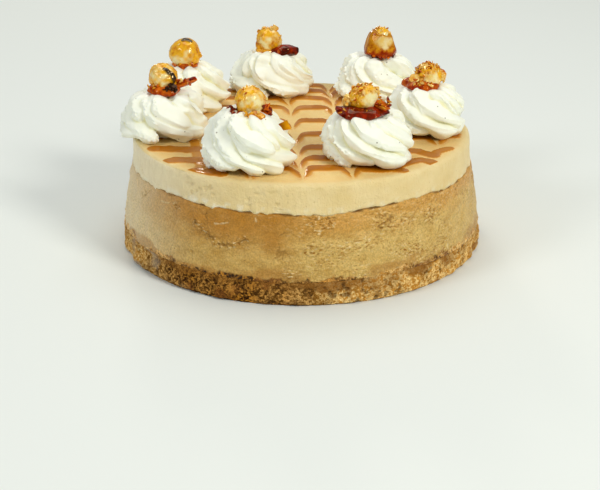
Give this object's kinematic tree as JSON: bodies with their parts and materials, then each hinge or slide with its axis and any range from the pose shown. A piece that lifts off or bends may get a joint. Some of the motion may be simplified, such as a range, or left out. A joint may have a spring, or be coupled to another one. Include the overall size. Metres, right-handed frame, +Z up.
{
  "type": "cheesecake",
  "caption": "Whole round cheesecake on a biscuit crust, with a mousse layer, feathered caramel lines and a ring of piped cream rosettes topped with candied hazelnuts.",
  "frame": {"origin": "centre of the crust's foot, on the surface that the cake stands on", "axes": "+Z up; -Y is the front that the picture shows; +X is the cake's right in the picture"},
  "size_m": [0.2012, 0.2016, 0.1033],
  "materials": {
    "biscuit_crust": "rough pressed crumbs",
    "baked_filling": "smooth matt, with fine pits",
    "mousse_top": "satin",
    "whipped_cream": "satin",
    "candied_hazelnut": "glossy clear amber",
    "hard_caramel": "glossy clear amber"
  },
  "bodies": {
    "root": {"crust": "biscuit_crust", "baked_layer": "baked_filling", "mousse": "mousse_top", "caramel_splinter": "hard_caramel", "rosette_1": "whipped_cream", "hazelnut_1": "candied_hazelnut", "rosette_2": "whipped_cream", "hazelnut_2": "candied_hazelnut", "rosette_3": "whipped_cream", "hazelnut_3": "candied_hazelnut", "rosette_4": "whipped_cream", "hazelnut_4": "candied_hazelnut", "rosette_5": "whipped_cream", "hazelnut_5": "candied_hazelnut", "rosette_6": "whipped_cream", "hazelnut_6": "candied_hazelnut", "rosette_7": "whipped_cream", "hazelnut_7": "candied_hazelnut"}
  },
  "joints": []
}
